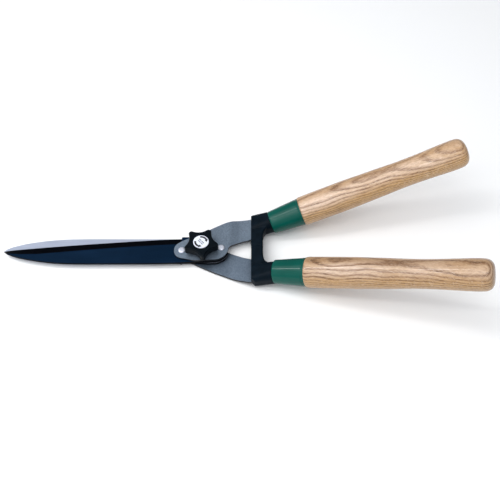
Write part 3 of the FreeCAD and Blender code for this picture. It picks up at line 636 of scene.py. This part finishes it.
def ferrule_rings(shift):
    """Drawn steel cup: end wall pierced for the tang, tapered skirt, rolled lip at the wood."""
    e = -FERRULE_L
    outer = [(e, 6.4), (e, 12.3), (e + 0.12, 12.85), (e + 0.45, 13.2), (e + 0.9, cone_r(e + 0.9))]
    s = e + 2.0
    while s < -3.2:
        outer.append((s, cone_r(s)))
        s += 1.6
    outer += [(-3.1, cone_r(-3.1)), (-2.75, cone_r(-2.75) - 0.06), (-2.5, cone_r(-2.5) - 0.26), (-2.2, cone_r(-2.2) - 0.34),
              (-1.9, cone_r(-1.9) - 0.26), (-1.65, cone_r(-1.65) - 0.02), (-1.3, cone_r(-1.3) + 0.1),
              (-0.8, cone_r(-0.8) + 0.13), (-0.35, cone_r(-0.35) + 0.06), (-0.1, cone_r(0) - 0.12), (-0.05, cone_r(0) - 0.4)]
    inner = [(-0.05, cone_r(0) - WALL), (-12.0, cone_r(-12) - WALL), (-24.0, cone_r(-24) - WALL),
             (e + WALL + 0.3, cone_r(e + WALL) - WALL), (e + WALL + 0.2, 6.4)]
    return [(s + shift, r) for s, r in outer + inner]


def make_ferrule(name, side, mat, shift):
    ob = lathe(name, ferrule_rings(shift), 128, close=True)
    sharp_by_angle(ob, 40)
    paint(ob, mat)
    return bake(ob, side)


M_WOOD_F = ash_wood("ash_wood_upper", 1, 3.7, 88.0, 90.0, 2.5, 0.045, 12.0, 1.1, 0.9, (1.0, 0.975, 0.925, 1), (150.0, 12.6, 10.2, 3.0))
M_WOOD_R = ash_wood("ash_wood_lower", -1, 11.3, 84.0, 76.0, 2.7, 0.008, 17.0, 2.4, 0.8, (0.85, 0.81, 0.745, 1), None)
for side, body, mat, gmat, seed, shift in ((1, "front", M_WOOD_F, M_GREEN_F, 2.0, 0.0),
                                           (-1, "rear", M_WOOD_R, M_GREEN_R, 7.0, REAR_SHIFT)):
    grip = make_handle("ash_handle_" + body, side, mat, seed, shift)
    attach(grip, body)
    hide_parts(body + "_handle")
    cup = make_ferrule("drawn_ferrule_" + body, side, gmat, shift)
    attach(cup, body)
    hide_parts(body + "_ferrule")


# ------------------------------------------------------------------ print on the knob's disc
def solid_strip(path, z0, z1):
    """Closed strip through (inner, outer) point pairs."""
    verts, faces = [], []
    for (xi, yi), (xo, yo) in path:
        verts += [(xi, yi, z0), (xo, yo, z0), (xo, yo, z1), (xi, yi, z1)]
    n = len(path)
    for i in range(n - 1):
        a, b = 4 * i, 4 * i + 4
        for k in range(4):
            faces.append((a + k, a + (k + 1) % 4, b + (k + 1) % 4, b + k))
    faces.append((3, 2, 1, 0))
    e = 4 * (n - 1)
    faces.append((e, e + 1, e + 2, e + 3))
    return verts, faces


def join_parts(name, parts):
    verts, faces = [], []
    for v, f in parts:
        o = len(verts)
        verts += v
        faces += [tuple(i + o for i in q) for q in f]
    return new_object(name, verts, faces, smooth=False)


def on_ring(r, deg):
    return (r * math.cos(math.radians(deg)), r * math.sin(math.radians(deg)))


def arc_arrow(r, width, a0, a1, head_w, head_deg, z0, z1):
    sign = 1 if a1 > a0 else -1
    body = a1 - sign * head_deg
    n = 26
    path = []
    for i in range(n + 1):
        a = a0 + (body - a0) * i / n
        path.append((on_ring(r - width / 2, a), on_ring(r + width / 2, a)))
    out = [solid_strip(path, z0, z1)]
    tip = on_ring(r, a1)
    pi, po = on_ring(r - head_w / 2, body), on_ring(r + head_w / 2, body)
    v = [(pi[0], pi[1], z0), (po[0], po[1], z0), (tip[0], tip[1], z0), (pi[0], pi[1], z1), (po[0], po[1], z1), (tip[0], tip[1], z1)]
    out.append((v, [(0, 1, 2), (5, 4, 3), (0, 3, 4, 1), (1, 4, 5, 2), (2, 5, 3, 0)]))
    return out


Z_PRINT = CAP_TOP - 0.02
arrows = join_parts("cap_arrows", arc_arrow(6.6, 2.2, 100.0, -4.0, 4.2, 28.0, Z_PRINT, CAP_TOP + 0.06)
                    + arc_arrow(6.6, 2.2, 174.0, 278.0, 4.2, 28.0, Z_PRINT, CAP_TOP + 0.06))
paint(arrows, M_ARROW)
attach(arrows, "knob")
bars = []
for off, spans in ((1.1, ((-4.3, -0.9), (-0.1, 3.9))), (-1.1, ((-3.4, 0.9), (1.6, 4.2)))):
    for t0, t1 in spans:
        ux, uy = math.cos(math.radians(-49.0)), math.sin(math.radians(-49.0))
        vx, vy = -uy, ux
        def at(t, w):
            return (ux * t + vx * w, uy * t + vy * w)
        bars.append(solid_strip([(at(t0, off - 0.55), at(t0, off + 0.55)), (at(t1, off - 0.55), at(t1, off + 0.55))],
                                Z_PRINT, CAP_TOP + 0.05))
bars = join_parts("cap_bars", bars)
paint(bars, M_DASH)
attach(bars, "knob")


# ------------------------------------------------------------------ floor, light, camera
def area(name, loc, rot, sx, sy, watts, color=(1, 1, 1)):
    li = bpy.data.lights.new(name, "AREA")
    li.shape = "RECTANGLE"
    li.size, li.size_y = sx, sy
    li.energy = watts
    li.color = color
    ob = bpy.data.objects.new(name, li)
    ob.location = loc
    ob.rotation_euler = rot
    bpy.context.scene.collection.objects.link(ob)
    return ob


fl = bpy.data.meshes.new("studio_floor")
fl.from_pydata([(-3, -3, -0.0002), (3, -3, -0.0002), (3, 3, -0.0002), (-3, 3, -0.0002)], [], [(0, 1, 2, 3)])
floor = bpy.data.objects.new("studio_floor", fl)
bpy.context.scene.collection.objects.link(floor)
gf = Graph("floor_white")
fp = gf.mm()
gf.set(Base_Color=gf.mix(gf.noise(fp, 0.01, 2.0, 0.5), (0.955, 0.955, 0.955, 1), (0.965, 0.965, 0.965, 1)), Roughness=0.9)
gf.bsdf.inputs["Specular IOR Level"].default_value = 0.1
paint(floor, gf.mat)

world = bpy.data.worlds.new("studio")
bpy.context.scene.world = world
world.use_nodes = True
wt = world.node_tree
wt.nodes.clear()
wo = wt.nodes.new("ShaderNodeOutputWorld")
wb = wt.nodes.new("ShaderNodeBackground")
wc = wt.nodes.new("ShaderNodeTexCoord")
ws = wt.nodes.new("ShaderNodeVectorMath")
ws.operation = "DOT_PRODUCT"
ws.inputs[1].default_value = (-0.40, -0.35, 0.85)
wr = wt.nodes.new("ShaderNodeValToRGB")
wt.links.new(wc.outputs["Generated"], ws.inputs[0])
wt.links.new(ws.outputs["Value"], wr.inputs[0])
el = wr.color_ramp.elements
el[0].position, el[0].color = 0.0, (0.20, 0.21, 0.22, 1)
el[1].position, el[1].color = 1.0, (1.15, 1.17, 1.20, 1)
e2 = el.new(0.45)
e2.color = (0.30, 0.315, 0.34, 1)
e3 = el.new(0.75)
e3.color = (0.78, 0.80, 0.83, 1)
wt.links.new(wr.outputs[0], wb.inputs[0])
wb.inputs[1].default_value = 1.0
wt.links.new(wb.outputs[0], wo.inputs[0])

key = area("softbox_key", (-0.32, -0.12, 1.05), (0, 0, 0), 1.6, 1.1, 6.4)
key.rotation_euler = (Vector((0.05, 0.0, 0.0)) - key.location).to_track_quat("-Z", "Y").to_euler()
area("strip_edge", (0.05, -0.36, 0.98), (math.radians(-20), 0, 0), 1.3, 0.04, 2.4)
area("strip_top", (-0.60, 0.05, 0.98), (0, math.radians(-28), 0), 1.0, 0.045, 3.2)

cam = bpy.data.cameras.new("camera")
cam.lens = 51.96
cam.sensor_width = 36.0
cam.sensor_fit = "HORIZONTAL"
cam.clip_start = 0.01
co = bpy.data.objects.new("camera", cam)
co.location = (0.0560, -0.4796, 0.6973)
co.rotation_euler = (math.radians(34.94), 0, 0)
bpy.context.scene.collection.objects.link(co)
bpy.context.scene.camera = co
bpy.context.scene.view_settings.view_transform = "Standard"
